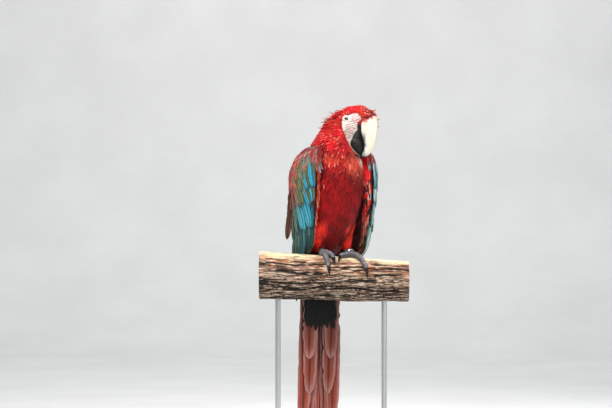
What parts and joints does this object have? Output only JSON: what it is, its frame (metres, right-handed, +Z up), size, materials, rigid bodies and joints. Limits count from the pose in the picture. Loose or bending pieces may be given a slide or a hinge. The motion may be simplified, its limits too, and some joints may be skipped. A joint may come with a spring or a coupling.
{
  "type": "macaw",
  "caption": "Life-size macaw with a hooked bill and folded wings, perched on a short cut branch held up by a plain display stand.",
  "frame": {"origin": "middle of the stand's flat underside", "axes": "+Z up, -Y the way the bird faces the viewer, +X to the viewer's right along the branch"},
  "size_m": [0.343, 0.28, 0.9066],
  "materials": {
    "red_plumage": "soft crimson feathers, duller on the belly",
    "wing_plumage": "blue flight feathers under green-grey coverts",
    "tail_plumage": "worn brownish red feathers with grey edges",
    "pale_horn": "ivory horn with black at the sides of the base",
    "dark_horn": "black horn, slightly glossy",
    "eye": "wet and glossy, pale yellow iris round a black pupil",
    "foot_skin": "grey scaled skin",
    "band_metal": "plain satin ring",
    "weathered_wood": "bare, bleached and cracked",
    "dark_wood": "oiled board",
    "steel": "brushed"
  },
  "bodies": {
    "root": {"perch": "weathered_wood", "stand_base": "dark_wood", "stand_rod_left": "steel", "stand_rod_right": "steel", "head": "red_plumage", "eye_left": "eye", "eye_right": "eye", "neck": "red_plumage", "torso": "red_plumage", "bill_upper": "pale_horn", "bill_lower": "dark_horn", "leg_right": "red_plumage", "leg_left": "red_plumage", "foot_right": "foot_skin", "foot_left": "foot_skin", "claw_right_outer_front": "dark_horn", "claw_right_inner_front": "dark_horn", "claw_right_outer_back": "dark_horn", "claw_right_inner_back": "dark_horn", "claw_left_outer_front": "dark_horn", "claw_left_inner_front": "dark_horn", "claw_left_outer_back": "dark_horn", "claw_left_inner_back": "dark_horn", "leg_band": "band_metal", "wing_right": "wing_plumage", "wing_left": "wing_plumage", "tail": "tail_plumage"}
  },
  "joints": []
}
